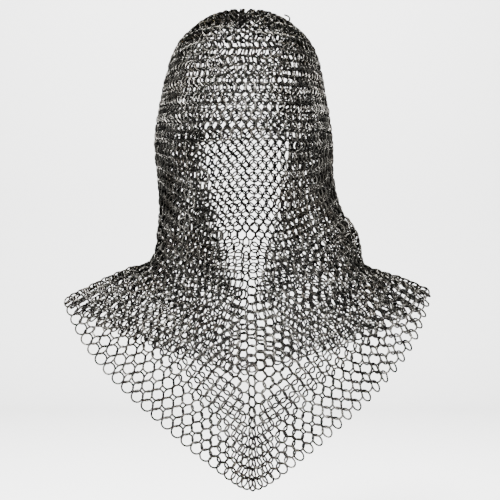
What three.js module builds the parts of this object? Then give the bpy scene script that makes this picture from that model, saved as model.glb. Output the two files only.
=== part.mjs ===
// A mail coif: a hood of linked steel rings with an open face, falling into a square mantle that is
// worn corner to the front. Each sheet of mail is a thin closed wall on the form that the sheet hangs in.
// Millimetres, +Z up. The face opening looks along -Y, and +X is on the right as the face is looked at.
// The origin is the inside of the crown, at its highest point.
import * as THREE from "three";

// Driving dimensions
const WALL = 3; // the thickness of hanging mail
const SEAM = 0.3; // the gap between two sheets
const CROWN_ROWS = 11; // rows of rings in the round crown
const BROW_ROW = 21.5; // where the face opening begins, in rows from the crown's centre
const THROAT_ROW = 38.5; // where the face opening ends and the rows close in front
const MANTLE_ROW = 44.5; // where the mantle's corners begin to grow
const HEM_ROW = 56;
const SHOULDER_TURN = 90; // turns from the front, in degrees
const BACK_SEAM = 118; // to the seam of a side with the back

// The coif's sections, each along one row of rings. The row runs from the front over the sides to the back.
// left, right, front and back are how far it reaches, and side_z, front_z and back_z its heights there.
// roundness is the plan's exponent: 2 is an ellipse, and near 1 a diamond. chevron is how far the row dips
// to the front as a straight V, not as a curve. off_centre moves its front to +X. opening is half the
// width of the face opening. right_lift is how much higher the right shoulder is than the left.
const SECTION_COLUMNS = [
  "row", "left", "right", "front", "back", "side_z", "front_z", "back_z",
  "roundness", "chevron", "off_centre", "opening", "right_lift",
];
const SECTIONS = [
  [0, 0, 0, 0, 0, 1.5, 1.5, 1.5, 2, 0, 0, 0, 0],
  [4, 33.5, 33.5, 37, 37, -5, -2.5, -2, 2, 0, 0, 17, 0],
  [8, 60.5, 60, 69, 70, -25, -18, -19, 2.05, 0, 0, 34, 0],
  [11, 73, 72, 87, 89, -45.5, -40.5, -41.5, 2.1, 0, 0, 43, 0],
  [16, 82.5, 79.5, 103, 102, -84.5, -84.5, -76.5, 2.15, 0, 1, 45, 0],
  [21.5, 88.5, 85.5, 107, 106, -127.5, -135.5, -111.5, 2.15, 0.1, 1.5, 45.5, 0],
  [27, 85.5, 86.5, 98, 104, -161.5, -190.5, -145.5, 2.1, 0.3, 0.5, 37, 0],
  [32.5, 82.5, 93.5, 88, 99, -196.5, -245.5, -181.5, 2.05, 0.6, 1.5, 24.5, 0],
  [35.5, 85, 106, 83, 97, -215.5, -270.5, -201.5, 2, 0.8, 3, 15.5, 0],
  [38.5, 88, 111.5, 80, 95, -233.5, -296.5, -221.5, 2, 0.9, 7, 0, 0],
  [41, 94, 116, 86, 97, -245.5, -320.5, -240.5, 1.9, 1, 7, 0, -3],
  [44.5, 113, 132, 98, 104, -254.5, -353.5, -269.5, 1.7, 1, 7, 0, -3],
  [50, 147, 159, 117, 117, -269.5, -405.5, -319.5, 1.5, 1, 7, 0, 3],
  [56, 183, 185, 136, 132, -288, -459, -376, 1.45, 1, 7, 0, 10],
];

// The largest folds. Each swells out of the wall, or sinks into it where rise is below 0. turn is the
// angle from the front, below 0 on the -X side, and the spans are the fold's half lengths.
const FOLD_COLUMNS = ["turn", "turn_span", "row", "row_span", "rise"];
const FOLDS = [
  [-62, 30, 42.3, 1.8, -5],
  [-50, 24, 47, 2.2, 2.5],
  [58, 24, 42.6, 1.6, -4],
  [78, 9, 36, 5, 4],
  [100, 8, 37, 5, -4],
  [-78, 7, 34, 7, 2.5],
  [-96, 7, 35, 6, -2.5],
  [-112, 8, 38, 7, 3],
  [122, 9, 38, 7, 3],
  [150, 11, 41, 8, -3.5],
  [-140, 11, 42, 8, -3.5],
  [176, 11, 43, 9, 4],
];

const CHEVRON_STRAIGHT = 0.78; // the share of a V's drop that is straight
const CHEVRON_SWEEP = 9; // the power of the rest, which falls off near the sides
const CHEVRON_TIP = 0.07; // how round the V's point is, as a share of the half width
const CURVE_POWER = 3; // the power of the drop in a row without a V
const PROBE_ROW = 0.05; // steps that measure the wall's slopes
const PROBE_TURN = 0.5;

// Rows and columns of the grid that all sheets share, so that their seams meet
const CROWN_STEPS = 6;
const BROW_STEPS = 6;
const FACE_STEPS = 9;
const THROAT_STEPS = 4;
const MANTLE_STEPS = 9;
const EDGE_COLUMN = 4; // at the edge of the face opening, and in front below the throat
const SHOULDER_COLUMN = 13;
const SEAM_COLUMN = 16; // at the seam of a side with the back
const BACK_COLUMN = 22; // the last, in the middle of the back

const table = (columns, rows) => {
  return rows.map((row) => Object.fromEntries(columns.map((name, i) => [name, row[i]])));
};

const sections = table(SECTION_COLUMNS, SECTIONS);
const folds = table(FOLD_COLUMNS, FOLDS);

// The slope of one column of the sections at section i. Past the crown's centre the reaches run on
// with their sign turned and the heights mirrored, so that the crown is smooth there.
function slopeAt(name, i) {
  const next = sections[Math.min(i + 1, sections.length - 1)];
  const last = sections[Math.max(i - 1, 0)];
  if (i === 0) {
    const reaches = ["left", "right", "front", "back", "opening"];
    return reaches.includes(name) ? next[name] / next.row : 0;
  }
  return (next[name] - last[name]) / (next.row - last.row);
}

// One column of the sections at any row, as a smooth curve through the table's values
function sectionValue(name, row) {
  const after = sections.findIndex((section) => section.row >= row);
  const i = Math.max(after - 1, 0);
  const from = sections[i];
  const to = sections[i + 1];
  const span = to.row - from.row;
  const t = (row - from.row) / span;
  const rise = to[name] - from[name];
  const start = slopeAt(name, i) * span;
  const end = slopeAt(name, i + 1) * span;
  return from[name] + t * (start + t * (3 * rise - 2 * start - end + t * (start + end - 2 * rise)));
}

// The share of a row's drop to the front or back that is gone at a share of the half width
function dropGone(share, chevron) {
  const soft = Math.hypot(share, CHEVRON_TIP) - CHEVRON_TIP;
  const straight = soft / (Math.hypot(1, CHEVRON_TIP) - CHEVRON_TIP);
  const pointed = CHEVRON_STRAIGHT * straight + (1 - CHEVRON_STRAIGHT) * share ** CHEVRON_SWEEP;
  return THREE.MathUtils.lerp(share ** CURVE_POWER, pointed, chevron);
}

// The middle of the wall without its folds
function smoothPoint(row, turn) {
  const angle = THREE.MathUtils.degToRad(turn);
  const ahead = Math.cos(angle);
  const aside = Math.sin(angle);
  const power = 2 / sectionValue("roundness", row);
  const share = Math.abs(aside) ** power;
  const half = sectionValue(aside < 0 ? "left" : "right", row);
  const reach = ahead > 0 ? -sectionValue("front", row) : sectionValue("back", row);
  const low = sectionValue(ahead > 0 ? "front_z" : "back_z", row);
  const high = sectionValue("side_z", row);
  const lift = aside > 0 ? sectionValue("right_lift", row) * share ** CHEVRON_SWEEP : 0;
  const chevron = sectionValue("chevron", row);
  const shift = sectionValue("off_centre", row) * Math.max(ahead, 0);
  return new THREE.Vector3(
    Math.sign(aside) * half * share + shift,
    reach * Math.abs(ahead) ** power,
    high + (low - high) * (1 - dropGone(share, chevron)) + lift,
  );
}

function outward(place, row, turn) {
  if (row < PROBE_ROW) {
    return new THREE.Vector3(0, 0, 1);
  }
  const down = place(Math.min(row + PROBE_ROW, HEM_ROW), turn).sub(place(row - PROBE_ROW, turn));
  const round = place(row, turn + PROBE_TURN).sub(place(row, turn - PROBE_TURN));
  return round.cross(down).normalize().negate();
}

function foldRise(row, turn) {
  return folds.reduce((sum, fold) => {
    const apart = ((turn - fold.turn + 540) % 360) - 180;
    const far = (apart / fold.turn_span) ** 2 + ((row - fold.row) / fold.row_span) ** 2;
    return sum + fold.rise * Math.exp(-far);
  }, 0);
}

function wallPoint(row, turn) {
  const point = smoothPoint(row, turn);
  return point.addScaledVector(outward(smoothPoint, row, turn), foldRise(row, turn));
}

// Half the face opening as a turn from the front. It closes at the throat.
function openingTurn(row, side) {
  if (row >= THROAT_ROW) {
    return 0;
  }
  const half = sectionValue(side < 0 ? "left" : "right", row);
  const share = sectionValue("opening", row) / half;
  return THREE.MathUtils.radToDeg(Math.asin(share ** (sectionValue("roundness", row) / 2)));
}

// The turn of a column of the shared grid. Columns run from the front's middle to the back's. Those
// beside the face opening spread as it narrows, and keep their places below the throat.
function columnTurn(column, row, side) {
  const edge = openingTurn(Math.max(row, CROWN_ROWS), side);
  const places = [
    [0, 0],
    [EDGE_COLUMN, edge],
    [SHOULDER_COLUMN, SHOULDER_TURN],
    [SEAM_COLUMN, BACK_SEAM],
    [BACK_COLUMN, 180],
  ];
  const i = places.findIndex(([end]) => end >= column && end > 0);
  const [from, start] = places[i - 1];
  const [to, end] = places[i];
  return side * THREE.MathUtils.mapLinear(column, from, to, start, end);
}

function gridRows() {
  const stretches = [
    [0, CROWN_ROWS, CROWN_STEPS],
    [CROWN_ROWS, BROW_ROW, BROW_STEPS],
    [BROW_ROW, THROAT_ROW, FACE_STEPS],
    [THROAT_ROW, MANTLE_ROW, THROAT_STEPS],
    [MANTLE_ROW, HEM_ROW, MANTLE_STEPS],
  ];
  const rows = [0];
  for (const [from, to, steps] of stretches) {
    for (let i = 1; i <= steps; i += 1) {
      rows.push(from + ((to - from) * i) / steps);
    }
  }
  return rows;
}

const ROWS = gridRows();

// The rows of the grid from one row to another, both included
const rowsBetween = (from, to) => ROWS.filter((row) => row >= from - 1e-6 && row <= to + 1e-6);

// Which way a place moves to stand half a gap clear of the seams that it lies on: across each seam in
// the wall's face, and by as much from both where two seams meet.
function seamMove(seamWays) {
  if (seamWays.length === 0) {
    return new THREE.Vector3();
  }
  const [one, two] = seamWays;
  if (!two) {
    return one.clone().multiplyScalar(SEAM / 2);
  }
  return one.clone().add(two).multiplyScalar(SEAM / 2 / (1 + one.dot(two)));
}

// The direction across a line of the grid, in the wall's face, towards a neighbouring place
function wayAcross(along, normal, point, neighbour) {
  const way = normal.clone().cross(along).normalize();
  return way.dot(neighbour.clone().sub(point)) < 0 ? way.negate() : way;
}

// A point of the shared grid, also past the middle line in front or behind
function gridPoint(row, column, side) {
  const beyond = column < 0 || column > BACK_COLUMN;
  const inside = column > BACK_COLUMN ? 2 * BACK_COLUMN - column : Math.abs(column);
  return wallPoint(row, columnTurn(inside, row, beyond ? -side : side));
}

// The directions along a place's row and down its column, between its neighbours on the shared grid.
// In the closed rows the first column in front is EDGE_COLUMN, and the next is on the other side.
function rowWay({ row, column, side }) {
  const crosses = row >= THROAT_ROW && column === EDGE_COLUMN;
  const last = crosses ? gridPoint(row, EDGE_COLUMN + 1, -side) : gridPoint(row, column - 1, side);
  return gridPoint(row, column + 1, side).sub(last);
}

function columnWay({ row, column, side }) {
  const i = ROWS.indexOf(row);
  const below = ROWS[Math.min(i + 1, ROWS.length - 1)];
  return gridPoint(below, column, side).sub(gridPoint(ROWS[i - 1], column, side));
}

// A closed wall from a grid of places. seams names the sides of the grid that meet another sheet, where
// the wall stops half the gap short. A first or last column may meet one over some of its rows.
function sheetGeometry(grid, seams) {
  const lines = grid.length;
  const across = grid[0].length;
  const points = grid.map((line) => line.map(({ row, turn }) => wallPoint(row, turn)));
  const normals = grid.map((line) => line.map(({ row, turn }) => outward(wallPoint, row, turn)));
  const moved = points.map((line, i) =>
    line.map((point, j) => {
      const place = grid[i][j];
      const ways = [];
      if ((seams.top && i === 0) || (seams.bottom && i === lines - 1)) {
        const inside = points[i === 0 ? 1 : lines - 2][j];
        ways.push(wayAcross(rowWay(place), normals[i][j], point, inside));
      }
      if ((seams.start(place.row) && j === 0) || (seams.end && j === across - 1)) {
        const inside = line[j === 0 ? 1 : across - 2];
        ways.push(wayAcross(columnWay(place), normals[i][j], point, inside));
      }
      return point.clone().add(seamMove(ways));
    }),
  );
  const positions = [];
  for (const side of [1, -1]) {
    moved.forEach((line, i) =>
      line.forEach((place, j) => {
        positions.push(...place.clone().addScaledVector(normals[i][j], (side * WALL) / 2).toArray());
      }),
    );
  }
  const outer = (i, j) => i * across + j;
  const inner = (i, j) => lines * across + i * across + j;
  const faces = [];
  const quad = (a, b, c, d) => faces.push(a, b, c, a, c, d);
  for (let i = 0; i < lines - 1; i += 1) {
    for (let j = 0; j < across - 1; j += 1) {
      quad(outer(i, j), outer(i + 1, j), outer(i + 1, j + 1), outer(i, j + 1));
      quad(inner(i, j), inner(i, j + 1), inner(i + 1, j + 1), inner(i + 1, j));
    }
  }
  // The walls at the edges are split along the same diagonals on both sides of a seam.
  for (let j = 0; j < across - 1; j += 1) {
    quad(outer(0, j + 1), inner(0, j + 1), inner(0, j), outer(0, j));
    quad(outer(lines - 1, j + 1), outer(lines - 1, j), inner(lines - 1, j), inner(lines - 1, j + 1));
  }
  for (let i = 0; i < lines - 1; i += 1) {
    quad(outer(i + 1, 0), outer(i, 0), inner(i, 0), inner(i + 1, 0));
    quad(outer(i + 1, across - 1), inner(i + 1, across - 1), inner(i, across - 1), outer(i, across - 1));
  }
  return outwardGeometry(positions, faces);
}

// Turns the faces round where they look into the solid
function outwardGeometry(positions, faces) {
  const corner = (index) => new THREE.Vector3().fromArray(positions, index * 3);
  let volume = 0;
  for (let i = 0; i < faces.length; i += 3) {
    const [a, b, c] = [corner(faces[i]), corner(faces[i + 1]), corner(faces[i + 2])];
    volume += a.dot(b.cross(c)) / 6;
  }
  if (volume < 0) {
    faces.reverse();
  }
  const geometry = new THREE.BufferGeometry();
  geometry.setAttribute("position", new THREE.Float32BufferAttribute(positions, 3));
  geometry.setIndex(faces);
  geometry.computeVertexNormals();
  return geometry;
}

// A grid of places between two columns on one side, from the front to the back
function sideGrid(rows, from, to, side) {
  return rows.map((row) =>
    Array.from({ length: to - from + 1 }, (_, i) => {
      return { row, column: from + i, side, turn: columnTurn(from + i, row, side) };
    }),
  );
}

// A grid of places that crosses the middle line, in front where it starts at column 0 and else behind
function middleGrid(rows, from, to) {
  const left = sideGrid(rows, from, to, -1);
  const right = sideGrid(rows, from, to, 1);
  return rows.map((row, i) => {
    if (from === 0) {
      return [...left[i].reverse(), ...right[i].slice(1)];
    }
    return [...left[i], ...right[i].reverse().slice(1)];
  });
}

// The crown is a round sheet: closed rows of places about one place at its centre.
function crownGeometry() {
  const right = sideGrid(rowsBetween(0, CROWN_ROWS), 0, BACK_COLUMN, 1).slice(1);
  const left = sideGrid(rowsBetween(0, CROWN_ROWS), 1, BACK_COLUMN - 1, -1).slice(1);
  const grid = right.map((line, i) => [...line, ...left[i].reverse()]);
  const lines = grid.length;
  const round = grid[0].length;
  const positions = [];
  for (const face of [1, -1]) {
    positions.push(0, 0, wallPoint(0, 0).z + (face * WALL) / 2);
    for (const place of grid.flat()) {
      const { row, turn } = place;
      const point = wallPoint(row, turn);
      const normal = outward(wallPoint, row, turn);
      const ways = row === CROWN_ROWS ? [wayAcross(rowWay(place), normal, point, wallPoint(row - 1, turn))] : [];
      point.add(seamMove(ways)).addScaledVector(normal, (face * WALL) / 2);
      positions.push(...point.toArray());
    }
  }
  const layer = 1 + lines * round;
  const outer = (i, j) => 1 + i * round + (j % round);
  const inner = (i, j) => layer + outer(i, j);
  const faces = [];
  const quad = (a, b, c, d) => faces.push(a, b, c, a, c, d);
  for (let j = 0; j < round; j += 1) {
    faces.push(0, outer(0, j), outer(0, j + 1));
    faces.push(layer, inner(0, j + 1), inner(0, j));
    for (let i = 0; i < lines - 1; i += 1) {
      quad(outer(i, j), outer(i + 1, j), outer(i + 1, j + 1), outer(i, j + 1));
      quad(inner(i, j), inner(i, j + 1), inner(i + 1, j + 1), inner(i + 1, j));
    }
    quad(outer(lines - 1, j + 1), outer(lines - 1, j), inner(lines - 1, j), inner(lines - 1, j + 1));
  }
  return outwardGeometry(positions, faces);
}

const steel = new THREE.MeshStandardMaterial({ color: 0x2b2b2a, roughness: 0.42, metalness: 0.9 });

function sheet(name, geometry) {
  const mesh = new THREE.Mesh(geometry, steel.clone());
  mesh.name = name;
  return mesh;
}

const ALWAYS = () => true;

// The brow hangs from the crown, over the face opening.
function browSheet() {
  const grid = middleGrid(rowsBetween(CROWN_ROWS, BROW_ROW), 0, EDGE_COLUMN);
  return sheet("brow", sheetGeometry(grid, { top: true, bottom: false, start: ALWAYS, end: true }));
}

// A side falls from the crown past the cheek to the neck. The two sides meet below the throat.
function hoodSide(name, side) {
  const grid = sideGrid(rowsBetween(CROWN_ROWS, MANTLE_ROW), EDGE_COLUMN, SEAM_COLUMN, side);
  return sheet(name, sheetGeometry(grid, { top: true, bottom: true, start: ALWAYS, end: true }));
}

function hoodBack() {
  const grid = middleGrid(rowsBetween(CROWN_ROWS, MANTLE_ROW), SEAM_COLUMN, BACK_COLUMN);
  return sheet("hood_back", sheetGeometry(grid, { top: true, bottom: true, start: ALWAYS, end: true }));
}

// The mantle is four sheets, mitred at the front, the back and the shoulders.
function mantleQuarter(name, side, from, to) {
  const grid = sideGrid(rowsBetween(MANTLE_ROW, HEM_ROW), from, to, side);
  return sheet(name, sheetGeometry(grid, { top: true, bottom: false, start: ALWAYS, end: true }));
}

const coif = new THREE.Group();
coif.add(
  sheet("crown", crownGeometry()),
  browSheet(),
  hoodSide("hood_left", -1),
  hoodSide("hood_right", 1),
  hoodBack(),
  mantleQuarter("mantle_front_left", -1, EDGE_COLUMN, SHOULDER_COLUMN),
  mantleQuarter("mantle_front_right", 1, EDGE_COLUMN, SHOULDER_COLUMN),
  mantleQuarter("mantle_back_left", -1, SHOULDER_COLUMN, BACK_COLUMN),
  mantleQuarter("mantle_back_right", 1, SHOULDER_COLUMN, BACK_COLUMN),
);

export default coif;
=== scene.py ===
from math import cos, pi, sin

import bpy
import numpy as np
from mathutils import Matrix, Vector


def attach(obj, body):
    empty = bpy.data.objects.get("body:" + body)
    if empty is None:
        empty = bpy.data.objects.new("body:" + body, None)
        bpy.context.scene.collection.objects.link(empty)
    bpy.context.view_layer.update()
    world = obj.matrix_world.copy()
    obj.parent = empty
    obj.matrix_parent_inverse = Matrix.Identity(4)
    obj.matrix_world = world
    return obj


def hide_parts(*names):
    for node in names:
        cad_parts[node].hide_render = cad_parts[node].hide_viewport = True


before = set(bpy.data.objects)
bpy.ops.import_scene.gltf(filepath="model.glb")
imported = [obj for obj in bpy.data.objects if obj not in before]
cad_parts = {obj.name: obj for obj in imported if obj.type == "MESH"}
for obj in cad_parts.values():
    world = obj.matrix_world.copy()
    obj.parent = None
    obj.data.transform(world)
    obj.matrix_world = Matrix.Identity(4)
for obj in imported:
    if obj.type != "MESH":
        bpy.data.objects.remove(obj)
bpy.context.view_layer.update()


# The crown: the round top of the hood, of butted rings of blackened mild steel wire. It grows from one
# ring in six wedges, with one more ring per wedge in each row, and each ring holds two of the row above.
# All rows of the coif hang on the form below, which each later sheet follows down from the crown.
WIRE = 1.8
RING_REACH = 5.6
RING_STEPS = 18
WIRE_SIDES = 6
BUTT_GAP = 0.12
SEAM_SHIFT = 0.1
RING_SQUEEZE = 0.012
RING_SINK = ((0, 3.4), (10, 3.4), (20, 1.8), (41, 1.8), (44, 1.0))
LINK_SLACK = 0.1
LONGEST_LINK = 2 * RING_REACH - WIRE - LINK_SLACK
SHORTEST_LINK = 5.0
CLOSEST_NEIGHBOUR = 4.4
SETTLE_STEPS = 80
CROWN_GROWS_TO = 13
CROWN_LAST_ROW = 11
CROWN_RINGS_ROUND = 78
CROWN_EDGE_LANE = -6
SHOULDER_LANE = 16.5
BACK_LANE = 33
SHOULDER_TURN = 90.0
FACE_TOP_ROW = 21.6
THROAT_ROW = 38.5
MANTLE_ROW = 39
HEM_ROW = 56.0
ROW_PROBE = 0.05
TURN_PROBE = 0.5
LANE_PROBE = 0.1
HALF_ROW = 0.5

FORM_COLUMNS = (
    "row", "left", "right", "front", "back", "side_z", "front_z", "back_z",
    "roundness", "chevron", "off_centre", "opening", "right_lift",
)
FORM = np.array([
    (0, 0, 0, 0, 0, 1.5, 1.5, 1.5, 2, 0, 0, 0, 0),
    (4, 33.5, 33.5, 37, 37, -5, -2.5, -2, 2, 0, 0, 17, 0),
    (8, 60.5, 60, 69, 70, -25, -18, -19, 2.05, 0, 0, 34, 0),
    (11, 73, 72, 87, 89, -45.5, -40.5, -41.5, 2.1, 0, 0, 43, 0),
    (16, 82.5, 79.5, 103, 102, -84.5, -84.5, -76.5, 2.15, 0, 1, 45, 0),
    (21.5, 88.5, 85.5, 107, 106, -127.5, -135.5, -111.5, 2.15, 0.1, 1.5, 45.5, 0),
    (27, 85.5, 86.5, 98, 104, -161.5, -190.5, -145.5, 2.1, 0.3, 0.5, 37, 0),
    (32.5, 82.5, 93.5, 88, 99, -196.5, -245.5, -181.5, 2.05, 0.6, 1.5, 24.5, 0),
    (35.5, 85, 106, 83, 97, -215.5, -270.5, -201.5, 2, 0.8, 3, 15.5, 0),
    (38.5, 88, 111.5, 80, 95, -233.5, -296.5, -221.5, 2, 0.9, 7, 0, 0),
    (41, 94, 116, 86, 97, -245.5, -320.5, -240.5, 1.9, 1, 7, 0, -3),
    (44.5, 113, 132, 98, 104, -254.5, -353.5, -269.5, 1.7, 1, 7, 0, -3),
    (50, 147, 159, 117, 117, -269.5, -405.5, -319.5, 1.5, 1, 7, 0, 3),
    (56, 183, 185, 136, 132, -288, -459, -376, 1.45, 1, 7, 0, 10),
], float)
FORM_REACHES = ("left", "right", "front", "back", "opening")
CHEVRON_STRAIGHT = 0.78
CHEVRON_SWEEP = 9
CHEVRON_TIP = 0.07
CURVE_POWER = 3

# turn, turn_span, row, row_span, rise
LARGE_FOLDS = [
    (-62, 30, 42.3, 1.8, -5), (-50, 24, 47, 2.2, 2.5), (58, 24, 42.6, 1.6, -4),
    (78, 9, 36, 5, 4), (100, 8, 37, 5, -4), (-78, 7, 34, 7, 2.5),
    (-96, 7, 35, 6, -2.5), (-112, 8, 38, 7, 3), (122, 9, 38, 7, 3),
    (150, 11, 41, 8, -3.5), (-140, 11, 42, 8, -3.5), (176, 11, 43, 9, 4),
]

chance = np.random.default_rng(1410)


def form_slope(column, i):
    if i == 0:
        reaches = FORM_COLUMNS[column] in FORM_REACHES
        return FORM[1, column] / FORM[1, 0] if reaches else 0.0
    after = min(i + 1, len(FORM) - 1)
    return (FORM[after, column] - FORM[i - 1, column]) / (FORM[after, 0] - FORM[i - 1, 0])


def form_value(name, row):
    column = FORM_COLUMNS.index(name)
    i = int(np.searchsorted(FORM[:, 0], row, side="left")) - 1
    i = min(max(i, 0), len(FORM) - 2)
    span = FORM[i + 1, 0] - FORM[i, 0]
    t = (row - FORM[i, 0]) / span
    rise = FORM[i + 1, column] - FORM[i, column]
    start = form_slope(column, i) * span
    end = form_slope(column, i + 1) * span
    bend = 3 * rise - 2 * start - end + t * (start + end - 2 * rise)
    return FORM[i, column] + t * (start + t * bend)


def drop_gone(share, chevron):
    soft = np.hypot(share, CHEVRON_TIP) - CHEVRON_TIP
    straight = soft / (np.hypot(1, CHEVRON_TIP) - CHEVRON_TIP)
    pointed = CHEVRON_STRAIGHT * straight + (1 - CHEVRON_STRAIGHT) * share ** CHEVRON_SWEEP
    return share ** CURVE_POWER * (1 - chevron) + pointed * chevron


def smooth_points(row, turns):
    ahead = np.cos(np.radians(turns))
    aside = np.sin(np.radians(turns))
    power = 2 / form_value("roundness", row)
    share = np.abs(aside) ** power
    half = np.where(aside < 0, form_value("left", row), form_value("right", row))
    reach = np.where(ahead > 0, -form_value("front", row), form_value("back", row))
    low = np.where(ahead > 0, form_value("front_z", row), form_value("back_z", row))
    high = form_value("side_z", row)
    lift = np.where(aside > 0, form_value("right_lift", row) * share ** CHEVRON_SWEEP, 0)
    x = np.sign(aside) * half * share + form_value("off_centre", row) * np.maximum(ahead, 0)
    y = reach * np.abs(ahead) ** power
    z = high + (low - high) * (1 - drop_gone(share, form_value("chevron", row))) + lift
    return np.stack([x, y, z], -1)


def outward(points_at, row, turns):
    if row < ROW_PROBE:
        return np.tile([0.0, 0.0, 1.0], (len(turns), 1))
    down = points_at(min(row + ROW_PROBE, HEM_ROW), turns) - points_at(row - ROW_PROBE, turns)
    along = points_at(row, turns + TURN_PROBE) - points_at(row, turns - TURN_PROBE)
    normal = np.cross(down, along)
    return normal / np.linalg.norm(normal, axis=1, keepdims=True)


def fold_rise(row, turns):
    rise = np.zeros(len(turns))
    for turn, turn_span, fold_row, row_span, height in LARGE_FOLDS:
        apart = (turns - turn + 540) % 360 - 180
        rise += height * np.exp(-(apart / turn_span) ** 2 - ((row - fold_row) / row_span) ** 2)
    return rise


def hanging_points(row, turns):
    turns = np.asarray(turns, float)
    lift = fold_rise(row, turns)
    return smooth_points(row, turns) + outward(smooth_points, row, turns) * lift[:, None]


def opening_turn(row, side):
    if row >= THROAT_ROW:
        return 0.0
    half = form_value("left" if side < 0 else "right", row)
    share = form_value("opening", row) / half
    return np.degrees(np.arcsin(share ** (form_value("roundness", row) / 2)))


def even_curve(ends, values, at):
    """A curve through a few values that never turns back, so that rings keep their order in the row."""
    ends = np.array(ends, float)
    values = np.array(values, float)
    spans = np.diff(ends)
    rates = np.diff(values) / spans
    slopes = np.concatenate([[rates[0]], np.zeros(len(ends) - 2), [rates[-1]]])
    with np.errstate(divide="ignore"):
        for i in range(1, len(ends) - 1):
            near = 2 * spans[i] + spans[i - 1]
            far = spans[i] + 2 * spans[i - 1]
            slopes[i] = (near + far) / (near / rates[i - 1] + far / rates[i])
    i = np.clip(np.searchsorted(ends, at) - 1, 0, len(ends) - 2)
    t = (at - ends[i]) / spans[i]
    start = values[i] * (1 + 2 * t) * (1 - t) ** 2 + spans[i] * slopes[i] * t * (1 - t) ** 2
    return start + values[i + 1] * t * t * (3 - 2 * t) + spans[i] * slopes[i + 1] * t * t * (t - 1)


# How the lanes spread along a row. In the hood they are tight by the face, and in the mantle they crowd
# in its front corner.
HOOD_SHOULDER_LANE = 13.5
SPREAD_FROM_ROW = 11
SPREAD_ROWS = 8
BROW_SHIFT = 0.07
TIGHT_LANES = 4
TIGHTER_BY = 0.22
CORNER_LANES = 3
CROWD_FROM_ROW = 45
CROWD_ROWS = 5
CROWDED_BY = 0.56


def lane_turns(row, side, lanes):
    """The turns of rings on one side of a row. Lane 0 runs down the edge of the face opening, 16.5 over
    the shoulder and 33 down the back, and lanes below 0 are over the face or in the mantle's corner."""
    turns = np.linspace(0, 180, 721)
    points = hanging_points(row, side * turns)
    steps = np.linalg.norm(np.diff(points, axis=0), axis=1)
    run = np.concatenate([[0], np.cumsum(steps)])
    shoulder = np.interp(SHOULDER_TURN, turns, run)
    if row >= MANTLE_ROW:
        grown = (row - MANTLE_ROW) / 2
        crowd = 1 - CROWDED_BY * min(max((row - CROWD_FROM_ROW) / CROWD_ROWS, 0), 1)
        pitch = shoulder / (SHOULDER_LANE + grown)
        ends = [-grown, CORNER_LANES - grown, SHOULDER_LANE, BACK_LANE + grown]
        runs = [0, CORNER_LANES * pitch * crowd, shoulder, run[-1]]
    else:
        edge = np.interp(opening_turn(max(row, 1), side), turns, run)
        part = min(max((row - SPREAD_FROM_ROW) / SPREAD_ROWS, 0), 1)
        part = part * part * (3 - 2 * part)
        shoulder_lane = HOOD_SHOULDER_LANE + (SHOULDER_LANE - HOOD_SHOULDER_LANE) * part
        brow_middle = edge * (0.5 + BROW_SHIFT * part)
        even_pitch = (shoulder - edge) / shoulder_lane
        tight = even_pitch * (1 - TIGHTER_BY * part)
        ends = [CROWN_EDGE_LANE, CROWN_EDGE_LANE / 2, 0, TIGHT_LANES, shoulder_lane, BACK_LANE]
        runs = [0, brow_middle, edge, edge + TIGHT_LANES * tight, shoulder, run[-1]]
        if row > FACE_TOP_ROW:
            ends = ends[2:]
            runs = runs[2:]
    at = even_curve(ends, runs, np.asarray(lanes, float))
    return side * np.interp(at, run, turns)


class Weave:
    """All rings laid so far: places, the row's way along and the wall's way out, and the row's pitches."""

    places = np.zeros((0, 3))
    along = np.zeros((0, 3))
    out = np.zeros((0, 3))
    pitch = np.zeros(0)
    drop = np.zeros(0)
    rows = np.zeros(0, int)
    turns = np.zeros(0)
    sides = np.zeros(0, int)
    lanes = np.zeros(0)
    by_lane = {}


def in_middle(turn):
    """True on the lines down the middle of the front and the back, where both sides share a ring."""
    return abs(turn) < 0.01 or abs(turn) > 179.99


def hang_ring_row(row, side, lanes):
    """Lays rings of one row on the form and gives their numbers."""
    lanes = np.asarray(lanes, float)
    turns = lane_turns(row, side, lanes)
    first = len(Weave.places)
    along = hanging_points(row, turns + 0.4) - hanging_points(row, turns - 0.4)
    along /= np.linalg.norm(along, axis=1, keepdims=True)
    near = hanging_points(row, lane_turns(row, side, lanes - LANE_PROBE))
    far = hanging_points(row, lane_turns(row, side, lanes + LANE_PROBE))
    upper_row = max(row - HALF_ROW, 0.3)
    lower_row = min(row + HALF_ROW, HEM_ROW)
    fall = (hanging_points(lower_row, turns) - hanging_points(upper_row, turns)) / (lower_row - upper_row)
    fall -= along * np.sum(fall * along, axis=1, keepdims=True)
    out = outward(hanging_points, row, turns)
    sunk = out * np.interp(row, *zip(*RING_SINK))
    Weave.places = np.concatenate([Weave.places, hanging_points(row, turns) - sunk])
    Weave.along = np.concatenate([Weave.along, along])
    Weave.out = np.concatenate([Weave.out, out])
    Weave.pitch = np.concatenate([Weave.pitch, np.linalg.norm(far - near, axis=1) / (2 * LANE_PROBE)])
    Weave.drop = np.concatenate([Weave.drop, np.linalg.norm(fall, axis=1)])
    Weave.rows = np.concatenate([Weave.rows, np.full(len(lanes), row)])
    Weave.turns = np.concatenate([Weave.turns, turns])
    Weave.sides = np.concatenate([Weave.sides, np.full(len(lanes), side)])
    Weave.lanes = np.concatenate([Weave.lanes, lanes])
    numbers = list(range(first, first + len(lanes)))
    for number, turn, lane in zip(numbers, turns, lanes):
        Weave.by_lane[(row, side, round(2 * lane))] = number
        if in_middle(turn):
            Weave.by_lane[(row, -side, round(2 * lane))] = number
    return numbers


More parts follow.
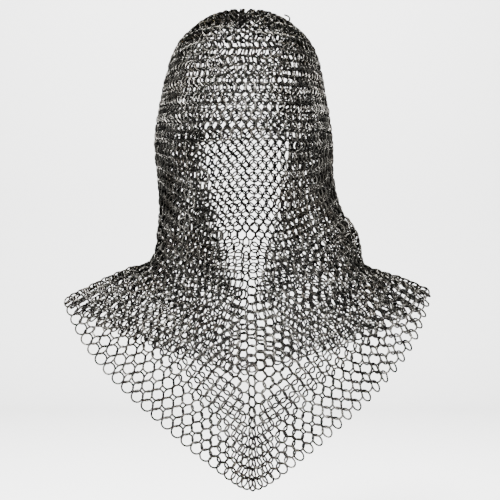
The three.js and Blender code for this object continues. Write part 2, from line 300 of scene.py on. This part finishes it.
def pairs_around(numbers):
    """The linked pairs, in rows that touch, and the pairs of neighbours in one row."""
    links = set()
    neighbours = set()
    for number in numbers:
        row = Weave.rows[number]
        side = Weave.sides[number]
        lane = round(2 * Weave.lanes[number])
        for on in (side, -side) if in_middle(Weave.turns[number]) else (side,):
            for row_step, lane_step, pairs in (
                (-1, -1, links), (-1, 1, links), (1, -1, links), (1, 1, links),
                (0, -2, neighbours), (0, 2, neighbours),
            ):
                other = Weave.by_lane.get((row + row_step, on, lane + lane_step))
                if other is not None:
                    pairs.add((min(number, other), max(number, other)))
    return np.array(sorted(links)), np.array(sorted(neighbours))


def settle(numbers):
    """Lets rings slide in the sheet until no link is drawn out longer than the wire allows. Rings that
    hang already stay where they are."""
    links, neighbours = pairs_around(numbers)
    loose = np.zeros(len(Weave.places))
    loose[numbers] = 1
    home = Weave.places.copy()
    hold = np.full(len(home), 0.05)
    on_edge = (Weave.lanes < 0.6) & (Weave.rows > 21) & (Weave.rows < MANTLE_ROW)
    hold[on_edge | (Weave.rows == HEM_ROW - 1)] = 0.25
    for _ in range(SETTLE_STEPS):
        push = np.zeros_like(home)
        pulls = np.zeros(len(home))
        for pairs, least, most in (
            (links, SHORTEST_LINK, LONGEST_LINK),
            (neighbours, CLOSEST_NEIGHBOUR, np.inf),
        ):
            gap = Weave.places[pairs[:, 1]] - Weave.places[pairs[:, 0]]
            far = np.linalg.norm(gap, axis=1)
            wrong = np.maximum(far - most, 0) - np.maximum(least - far, 0)
            both = loose[pairs[:, 0]] + loose[pairs[:, 1]]
            step = gap * (wrong / far / np.maximum(both, 1))[:, None]
            np.add.at(push, pairs[:, 0], step)
            np.add.at(push, pairs[:, 1], -step)
            hit = (wrong != 0).astype(float)
            np.add.at(pulls, pairs[:, 0], hit)
            np.add.at(pulls, pairs[:, 1], hit)
        push *= (loose / np.maximum(pulls, 1))[:, None] * 1.4
        push += (home - Weave.places) * (hold * loose)[:, None]
        Weave.places = Weave.places + push
        off = np.sum((Weave.places - home) * Weave.out, axis=1)
        Weave.places = Weave.places - Weave.out * (0.6 * off * loose)[:, None]


def ring_mesh(name, numbers, yaw, lean, opened=0.0, opened_towards=0.0):
    """One joined mesh of butted rings. yaw turns a ring about the wall's fall, and lean tips its lower
    edge outwards, both in degrees."""
    count = len(numbers)
    along = Weave.along[numbers]
    out = Weave.out[numbers]
    fall = np.cross(along, out)
    fall *= np.where(fall[:, 2:3] > 0, -1, 1)
    yaw = np.radians(yaw)[:, None]
    lean = np.radians(lean)[:, None]
    axis = out * np.cos(lean) + fall * np.sin(lean)
    axis = axis * np.cos(yaw) + along * np.sin(yaw)
    axis /= np.linalg.norm(axis, axis=1, keepdims=True)
    side_way = np.cross(fall, axis)
    side_way /= np.linalg.norm(side_way, axis=1, keepdims=True)
    up_way = np.cross(axis, side_way)

    seam = chance.uniform(0, 2 * pi, count)[:, None]
    if opened > 0:
        seam[:] = opened_towards
    gap = BUTT_GAP / RING_REACH + opened
    around = seam + np.linspace(gap / 2, 2 * pi - gap / 2, RING_STEPS + 1)[None, :]
    shift = chance.normal(0, SEAM_SHIFT, count)[:, None] * np.linspace(-1, 1, RING_STEPS + 1)[None, :]
    squeeze = 1 + chance.normal(0, RING_SQUEEZE, count)[:, None, None]
    spoke = side_way[:, None] * np.cos(around)[..., None] * squeeze
    spoke = spoke + up_way[:, None] * np.sin(around)[..., None] / squeeze
    section = np.linspace(0, 2 * pi, WIRE_SIDES, endpoint=False)
    reach = RING_REACH + WIRE / 2 * np.cos(section)
    tube = spoke[:, :, None] * reach[None, None, :, None]
    depth = WIRE / 2 * np.sin(section)[None, None, :] + shift[..., None]
    tube = tube + axis[:, None, None] * depth[..., None]
    tube = tube + Weave.places[numbers][:, None, None]
    points = tube.reshape(count, -1, 3)
    per_ring = points.shape[1]

    quads = []
    for step in range(RING_STEPS):
        for part in range(WIRE_SIDES):
            after = (part + 1) % WIRE_SIDES
            low = step * WIRE_SIDES
            high = low + WIRE_SIDES
            quads.append((low + part, high + part, high + after, low + after))
    last_end = RING_STEPS * WIRE_SIDES
    caps = [
        [part for part in range(WIRE_SIDES)],
        [last_end + part for part in reversed(range(WIRE_SIDES))],
    ]
    corners = np.array(sum(([*face] for face in quads), []) + caps[0] + caps[1])
    sizes = np.array([4] * len(quads) + [WIRE_SIDES] * 2)
    offsets = (np.arange(count) * per_ring)[:, None]
    all_corners = (corners[None] + offsets).ravel()
    all_sizes = np.tile(sizes, count)
    starts = np.concatenate([[0], np.cumsum(all_sizes)[:-1]])

    mesh = bpy.data.meshes.new(name)
    mesh.vertices.add(count * per_ring)
    mesh.vertices.foreach_set("co", (points.reshape(-1) / 1000).astype(np.float32))
    mesh.loops.add(len(all_corners))
    mesh.loops.foreach_set("vertex_index", all_corners.astype(np.int32))
    mesh.polygons.add(len(all_sizes))
    mesh.polygons.foreach_set("loop_start", starts.astype(np.int32))
    mesh.polygons.foreach_set("use_smooth", np.tile(sizes == 4, count))
    mesh.update(calc_edges=True)
    pairs = np.zeros(2 * len(mesh.edges), np.int32)
    mesh.edges.foreach_get("vertices", pairs)
    pairs = pairs.reshape(-1, 2) % per_ring
    at_cut = np.all(pairs < WIRE_SIDES, axis=1) | np.all(pairs >= last_end, axis=1)
    mesh.attributes.new("sharp_edge", "BOOLEAN", "EDGE").data.foreach_set("value", at_cut)

    tone = np.repeat(chance.uniform(0, 1, count), per_ring)
    mesh.attributes.new("ring_tone", "FLOAT", "POINT").data.foreach_set("value", tone.astype(np.float32))
    bore = np.clip(-np.cos(section), 0, 1)
    worn = np.tile(bore, (RING_STEPS + 1) * count)
    mesh.attributes.new("ring_bore", "FLOAT", "POINT").data.foreach_set("value", worn.astype(np.float32))
    piece = bpy.data.objects.new(name, mesh)
    bpy.context.scene.collection.objects.link(piece)
    return piece


# The angles that rings stand at, in degrees, for the pitch and the drop of their place in the weave.
YAW_AT_TIGHT_PITCH = 46
TIGHT_PITCH = 4.5
YAW_LOST_BY_PITCH = 4
YAW_LIMITS = (28, 48)
LONG_DROP = 8.3
YAW_LOST_BY_DROP = 8
LEAST_YAW = 20
MANTLE_YAW_LOST = 4
SHORT_DROP = 7.3
LEAN_BY_DROP = 12
MOST_LEAN = 14
UNREST = 1.8
CHANCE_UNREST = 2.5
CROWN_UNREST = 0.8


def ripple(turns, rows, waves):
    """A sum of waves that run round the coif, each with its count, its shift per row and its start."""
    return sum(np.sin(count * turns + per_row * rows + start) for count, per_row, start in waves)


def ring_angles(numbers):
    """How rings stand in the weave: all rings of a row turn the same way, and those of the next row the
    other way, further the closer they lie. Where the rows lie close, they also lean up and down."""
    drop = Weave.drop[numbers]
    pitch = Weave.pitch[numbers]
    rows = Weave.rows[numbers]
    turns = np.radians(Weave.turns[numbers])
    parity = np.where(rows % 2 == 1, 1.0, -1.0)
    turned = np.clip(YAW_AT_TIGHT_PITCH - (pitch - TIGHT_PITCH) * YAW_LOST_BY_PITCH, *YAW_LIMITS)
    turned = np.maximum(turned - np.maximum(drop - LONG_DROP, 0) * YAW_LOST_BY_DROP, LEAST_YAW)
    turned = np.where(rows > 41, turned - MANTLE_YAW_LOST, turned)
    leaning = np.clip((SHORT_DROP - drop) * LEAN_BY_DROP, 0, MOST_LEAN)
    by_face = (rows > 20) & (rows < 42) & (Weave.lanes[numbers] < 15) & (np.abs(turns) < 1.48)
    leaning = np.where(by_face, 0, leaning)
    swing = ripple(turns, rows, ((5, 0.9, 0), (11, -0.55, 2), (17, 1.3, 0)))
    nod = ripple(turns, rows, ((7, -0.7, 1), (13, 1.1, 4), (19, -0.4, 0)))
    unrest = np.where(rows < 22, CROWN_UNREST, 1.0)
    yaw = parity * turned + (UNREST * swing + chance.normal(0, CHANCE_UNREST, len(numbers))) * unrest
    lean = parity * leaning + (UNREST * nod + chance.normal(0, CHANCE_UNREST, len(numbers))) * unrest
    return yaw, lean


def blackened_wire_group():
    """Wire that was blackened in oil: black and grey rings, worn patches, and a fine drawn grain."""
    group = bpy.data.node_groups.new("blackened_wire", "ShaderNodeTree")
    nodes = group.nodes
    links = group.links
    for name, kind, value in (
        ("Ring Tone", "NodeSocketFloat", 0.5),
        ("Bore", "NodeSocketFloat", 0.0),
        ("Black", "NodeSocketColor", (0, 0, 0, 1)),
        ("Grey", "NodeSocketColor", (0.1, 0.1, 0.1, 1)),
        ("Brown", "NodeSocketColor", (0.03, 0.02, 0.01, 1)),
        ("Patch Scale", "NodeSocketFloat", 30.0),
        ("Grain Scale", "NodeSocketFloat", 900.0),
        ("Smoothest", "NodeSocketFloat", 0.15),
        ("Roughest", "NodeSocketFloat", 0.4),
    ):
        socket = group.interface.new_socket(name, in_out="INPUT", socket_type=kind)
        socket.default_value = value
    group.interface.new_socket("Color", in_out="OUTPUT", socket_type="NodeSocketColor")
    group.interface.new_socket("Roughness", in_out="OUTPUT", socket_type="NodeSocketFloat")
    group.interface.new_socket("Normal", in_out="OUTPUT", socket_type="NodeSocketVector")
    given = nodes.new("NodeGroupInput")
    made = nodes.new("NodeGroupOutput")
    where = nodes.new("ShaderNodeTexCoord")

    patches = nodes.new("ShaderNodeTexNoise")
    patches.inputs["Detail"].default_value = 3
    links.new(where.outputs["Object"], patches.inputs["Vector"])
    links.new(given.outputs["Patch Scale"], patches.inputs["Scale"])
    grain = nodes.new("ShaderNodeTexNoise")
    grain.inputs["Detail"].default_value = 4
    links.new(where.outputs["Object"], grain.inputs["Vector"])
    links.new(given.outputs["Grain Scale"], grain.inputs["Scale"])

    bright_rings = nodes.new("ShaderNodeMath")
    bright_rings.operation = "POWER"
    bright_rings.inputs[1].default_value = 2.5
    links.new(given.outputs["Ring Tone"], bright_rings.inputs[0])
    rubbed = nodes.new("ShaderNodeMath")
    rubbed.operation = "MULTIPLY_ADD"
    rubbed.inputs[1].default_value = 0.3
    links.new(given.outputs["Bore"], rubbed.inputs[0])
    links.new(bright_rings.outputs[0], rubbed.inputs[2])
    worn = nodes.new("ShaderNodeMath")
    worn.operation = "MULTIPLY_ADD"
    worn.use_clamp = True
    worn.inputs[1].default_value = 0.25
    links.new(grain.outputs["Fac"], worn.inputs[0])
    links.new(rubbed.outputs[0], worn.inputs[2])
    black_to_grey = nodes.new("ShaderNodeMix")
    black_to_grey.data_type = "RGBA"
    links.new(worn.outputs[0], black_to_grey.inputs["Factor"])
    links.new(given.outputs["Black"], black_to_grey.inputs["A"])
    links.new(given.outputs["Grey"], black_to_grey.inputs["B"])

    oily = nodes.new("ShaderNodeMapRange")
    oily.inputs["From Min"].default_value = 0.5
    oily.inputs["From Max"].default_value = 0.75
    oily.inputs["To Max"].default_value = 0.6
    links.new(patches.outputs["Fac"], oily.inputs["Value"])
    browned = nodes.new("ShaderNodeMix")
    browned.data_type = "RGBA"
    links.new(oily.outputs["Result"], browned.inputs["Factor"])
    links.new(black_to_grey.outputs["Result"], browned.inputs["A"])
    links.new(given.outputs["Brown"], browned.inputs["B"])
    links.new(browned.outputs["Result"], made.inputs["Color"])

    gloss = nodes.new("ShaderNodeMapRange")
    gloss.inputs["From Min"].default_value = 0.3
    gloss.inputs["From Max"].default_value = 0.7
    links.new(grain.outputs["Fac"], gloss.inputs["Value"])
    links.new(given.outputs["Smoothest"], gloss.inputs["To Min"])
    links.new(given.outputs["Roughest"], gloss.inputs["To Max"])
    links.new(gloss.outputs["Result"], made.inputs["Roughness"])
    relief = nodes.new("ShaderNodeBump")
    relief.inputs["Strength"].default_value = 0.3
    relief.inputs["Distance"].default_value = 0.00005
    links.new(grain.outputs["Fac"], relief.inputs["Height"])
    links.new(relief.outputs["Normal"], made.inputs["Normal"])
    return group


def blackened_steel(group):
    material = bpy.data.materials.new("blackened_steel")
    material.use_nodes = True
    nodes = material.node_tree.nodes
    links = material.node_tree.links
    shader = nodes["Principled BSDF"]
    wire = nodes.new("ShaderNodeGroup")
    wire.node_tree = group
    wire.inputs["Black"].default_value = (0.002, 0.002, 0.0019, 1)
    wire.inputs["Grey"].default_value = (0.05, 0.048, 0.0435, 1)
    wire.inputs["Brown"].default_value = (0.011, 0.0085, 0.006, 1)
    wire.inputs["Patch Scale"].default_value = 28
    wire.inputs["Grain Scale"].default_value = 900
    wire.inputs["Smoothest"].default_value = 0.17
    wire.inputs["Roughest"].default_value = 0.34
    for attribute, socket in (("ring_tone", "Ring Tone"), ("ring_bore", "Bore")):
        read = nodes.new("ShaderNodeAttribute")
        read.attribute_name = attribute
        links.new(read.outputs["Fac"], wire.inputs[socket])
    links.new(wire.outputs["Color"], shader.inputs["Base Color"])
    links.new(wire.outputs["Roughness"], shader.inputs["Roughness"])
    links.new(wire.outputs["Normal"], shader.inputs["Normal"])
    shader.inputs["Metallic"].default_value = 1.0
    shader.inputs["Specular Tint"].default_value = (0.04, 0.04, 0.04, 1)
    return material


steel = blackened_steel(blackened_wire_group())


def first_share(row):
    """Odd rows start with a ring at the middle of the front, and even rows half a ring beside it."""
    return 0 if row % 2 else 0.5


def hang_crown():
    """The crown's rings, from the first in the middle to the row where the six wedges stop growing."""
    middle = hang_ring_row(0, 1, [0])
    Weave.out[middle] = (0, 0, 1)
    Weave.along[middle] = (1, 0, 0)
    numbers = list(middle)
    for row in range(1, CROWN_LAST_ROW + 1):
        share = (np.arange(6 * row) + first_share(row)) / (6 * row)
        lanes = share * CROWN_RINGS_ROUND
        right = lanes <= CROWN_RINGS_ROUND / 2
        numbers += hang_ring_row(row, 1, lanes[right] + CROWN_EDGE_LANE)
        numbers += hang_ring_row(row, -1, CROWN_RINGS_ROUND - lanes[~right] + CROWN_EDGE_LANE)
    return np.array(numbers)


crown_rings = hang_crown()
crown = ring_mesh("crown_mail", crown_rings, *ring_angles(crown_rings))
crown.data.materials.append(steel)
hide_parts("crown")
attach(crown, "root")


# The brow: a band of the same steel rings above the face opening. It goes on from the crown's last row,
# and its rows are closed to the sides' with more rings. Its lowest row is the opening's edge.
BROW_LAST_ROW = 21
BROW_EDGE_YAW = 19


def lanes_from(row, first, last):
    """Odd rows have their rings on whole lanes, and even rows have theirs between."""
    if row <= CROWN_GROWS_TO:
        step = CROWN_RINGS_ROUND / (6 * row)
        lanes = np.arange(first_share(row) * step, CROWN_RINGS_ROUND / 2 + 0.01, step) + CROWN_EDGE_LANE
    else:
        start = CROWN_EDGE_LANE + first_share(row)
        lanes = np.arange(start, BACK_LANE + 0.01, 1.0)
    return lanes[(lanes >= first - 1e-6) & (lanes < last - 1e-6)]


brow_rings = []
for row in range(CROWN_LAST_ROW + 1, BROW_LAST_ROW + 1):
    right_lanes = lanes_from(row, CROWN_EDGE_LANE, -0.01)
    left_lanes = right_lanes[right_lanes > CROWN_EDGE_LANE + 0.01]
    brow_rings += hang_ring_row(row, 1, right_lanes)
    brow_rings += hang_ring_row(row, -1, left_lanes)
brow_rings = np.array(brow_rings)
settle(brow_rings)
yaw, lean = ring_angles(brow_rings)
at_edge = Weave.rows[brow_rings] == BROW_LAST_ROW
yaw[at_edge] = BROW_EDGE_YAW
lean[at_edge] = 0
brow = ring_mesh("brow_mail", brow_rings, yaw, lean)
brow.data.materials.append(steel)
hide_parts("brow")
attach(brow, "root")


# The hood's two sides: sheets of the same steel rings that hang from the crown, edge the face opening
# and close in front below it. Each is woven straight down, and its rows widen only as they are pulled.
HOOD_LAST_ROW = 44
SIDE_SEAM_TURN = 118


def mantle_lanes(row):
    grown = (row - MANTLE_ROW) / 2
    return np.arange(-grown, BACK_LANE + grown + 0.01, 1.0)


def side_row_lanes(row):
    if row < 22:
        return lanes_from(row, -0.01, BACK_LANE + 1)
    if row < MANTLE_ROW:
        return np.arange(first_share(row), BACK_LANE + 0.01, 1.0)
    return mantle_lanes(row)


def hang_hood_side(side):
    numbers = []
    for row in range(CROWN_LAST_ROW + 1, HOOD_LAST_ROW + 1):
        lanes = side_row_lanes(row)
        if row >= MANTLE_ROW and side < 0:
            lanes = lanes[1:]
        turns = np.abs(lane_turns(row, side, lanes))
        numbers += hang_ring_row(row, side, lanes[turns < SIDE_SEAM_TURN])
    return np.array(numbers)


for name, side in (("hood_left", -1), ("hood_right", 1)):
    rings = hang_hood_side(side)
    settle(rings)
    hood_side = ring_mesh(name + "_mail", rings, *ring_angles(rings))
    hood_side.data.materials.append(steel)
    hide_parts(name)
    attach(hood_side, "root")


# The hood's back: one sheet of the same steel rings from the crown down to the mantle, between the two
# sides. The rings lie further apart here, because nothing pulls them to the face opening.
back_rings = []
for row in range(CROWN_LAST_ROW + 1, HOOD_LAST_ROW + 1):
    lanes = side_row_lanes(row)
    for side in (-1, 1):
        turns = np.abs(lane_turns(row, side, lanes))
        kept = lanes[turns >= SIDE_SEAM_TURN]
        if side > 0:
            kept = kept[kept < BACK_LANE + max(row - MANTLE_ROW, 0) / 2 - 0.01]
        back_rings += hang_ring_row(row, side, kept)
back_rings = np.array(back_rings)
settle(back_rings)
hood_back = ring_mesh("hood_back_mail", back_rings, *ring_angles(back_rings))
hood_back.data.materials.append(steel)
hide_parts("hood_back")
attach(hood_back, "root")


# The mantle: a square of the same steel rings over the shoulders, worn corner to the front and woven on
# to the hood. Each row gains rings at the front and back corners, where two sheets meet in a mitre.
MANTLE_LAST_ROW = 55
FRONT_CORNER_YAW = 57


def hang_mantle_quarter(side, front):
    numbers = []
    for row in range(HOOD_LAST_ROW + 1, MANTLE_LAST_ROW + 1):
        lanes = mantle_lanes(row)
        if front:
            kept = lanes[lanes <= SHOULDER_LANE + 0.01]
            if side < 0:
                kept = kept[1:]
        else:
            kept = lanes[lanes > SHOULDER_LANE + 0.01]
            if side > 0:
                kept = kept[:-1]
        numbers += hang_ring_row(row, side, kept)
    return np.array(numbers)


for name, side, front in (
    ("mantle_front_left", -1, True),
    ("mantle_front_right", 1, True),
    ("mantle_back_left", -1, False),
    ("mantle_back_right", 1, False),
):
    rings = hang_mantle_quarter(side, front)
    settle(rings)
    yaw, lean = ring_angles(rings)
    at_front = np.abs(Weave.turns[rings]) < 0.01
    yaw[at_front] = FRONT_CORNER_YAW
    lean[at_front] = 0
    quarter = ring_mesh(name + "_mail", rings, yaw, lean)
    quarter.data.materials.append(steel)
    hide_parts(name)
    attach(quarter, "root")


# The spare ring: one steel ring of the crown that has sprung open. It has slipped out of its neighbours
# and stands up from the right of the crown, held only by the one it still hooks.
SPARE_PLACE = (39.0, -6.0, -6.5)
SPARE_OPENED = 1.6
SPARE_OPENED_TOWARDS = 3.9

spare_ring = np.array(hang_ring_row(5, 1, [4.0]))
Weave.places[spare_ring] = SPARE_PLACE
Weave.along[spare_ring] = (1.0, 0.0, 0.0)
Weave.out[spare_ring] = (0.0, 0.57, 0.82)
upright = np.zeros(1)
opened_ring = ring_mesh("opened_ring", spare_ring, upright, upright, SPARE_OPENED, SPARE_OPENED_TOWARDS)
opened_ring.data.materials.append(steel)
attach(opened_ring, "root")


# The room: a plain pale floor that curves up behind into a plain wall.
FLOOR_HEIGHT = -0.62
WALL_BEHIND = 2.6
CURVE_REACH = 0.5


def pale_backdrop():
    profile = [(-3.0, FLOOR_HEIGHT)]
    for step in range(17):
        angle = pi / 2 * step / 16
        y = WALL_BEHIND - CURVE_REACH + CURVE_REACH * sin(angle)
        profile.append((y, FLOOR_HEIGHT + CURVE_REACH - CURVE_REACH * cos(angle)))
    profile.append((WALL_BEHIND, 3.0))
    points = [(x, y, z) for x in (-4.0, 4.0) for y, z in profile]
    count = len(profile)
    faces = [(i, i + count, i + count + 1, i + 1) for i in range(count - 1)]
    mesh = bpy.data.meshes.new("backdrop")
    mesh.from_pydata(points, [], faces)
    mesh.polygons.foreach_set("use_smooth", [True] * len(faces))
    backdrop = bpy.data.objects.new("backdrop", mesh)
    bpy.context.scene.collection.objects.link(backdrop)
    paint = bpy.data.materials.new("pale_floor")
    paint.use_nodes = True
    shader = paint.node_tree.nodes["Principled BSDF"]
    shader.inputs["Base Color"].default_value = (0.46, 0.46, 0.457, 1)
    shader.inputs["Roughness"].default_value = 0.9
    mesh.materials.append(paint)
    return backdrop


pale_backdrop()


# The light: a large soft lamp in front above, a weaker one from each side and from the top, one on the
# wall, and a pale sky.
def soft_lamp(name, place, aim, size, power):
    data = bpy.data.lights.new(name, "AREA")
    data.shape = "RECTANGLE"
    data.size = size
    data.size_y = size
    data.energy = power
    lamp = bpy.data.objects.new(name, data)
    lamp.location = place
    lamp.rotation_euler = (Vector(aim) - Vector(place)).to_track_quat("-Z", "Y").to_euler()
    bpy.context.scene.collection.objects.link(lamp)
    return lamp


MIDDLE = (0.0, 0.0, -0.23)
soft_lamp("key", (-0.5, -1.7, 1.2), MIDDLE, 0.35, 370)
soft_lamp("left", (-1.7, -0.9, 0.3), MIDDLE, 0.35, 170)
soft_lamp("right", (1.7, -0.9, 0.3), MIDDLE, 0.35, 200)
soft_lamp("top", (0.1, 0.3, 1.6), MIDDLE, 0.5, 150)
soft_lamp("wall", (0.0, 0.9, 1.4), (0.0, 2.6, -0.2), 0.8, 230)
sky = bpy.data.worlds.new("sky")
sky.use_nodes = True
sky.node_tree.nodes["Background"].inputs["Color"].default_value = (0.93, 0.95, 1.0, 1)
sky.node_tree.nodes["Background"].inputs["Strength"].default_value = 0.12
bpy.context.scene.world = sky


# The camera: level, 1.5 m in front of the coif, near the middle of its height.
camera_data = bpy.data.cameras.new("camera")
camera_data.sensor_width = 36
camera_data.lens = 108
camera = bpy.data.objects.new("camera", camera_data)
camera.location = (0.005, -1.5, -0.2365)
camera.rotation_euler = (pi / 2, 0, 0)
bpy.context.scene.collection.objects.link(camera)
bpy.context.scene.camera = camera
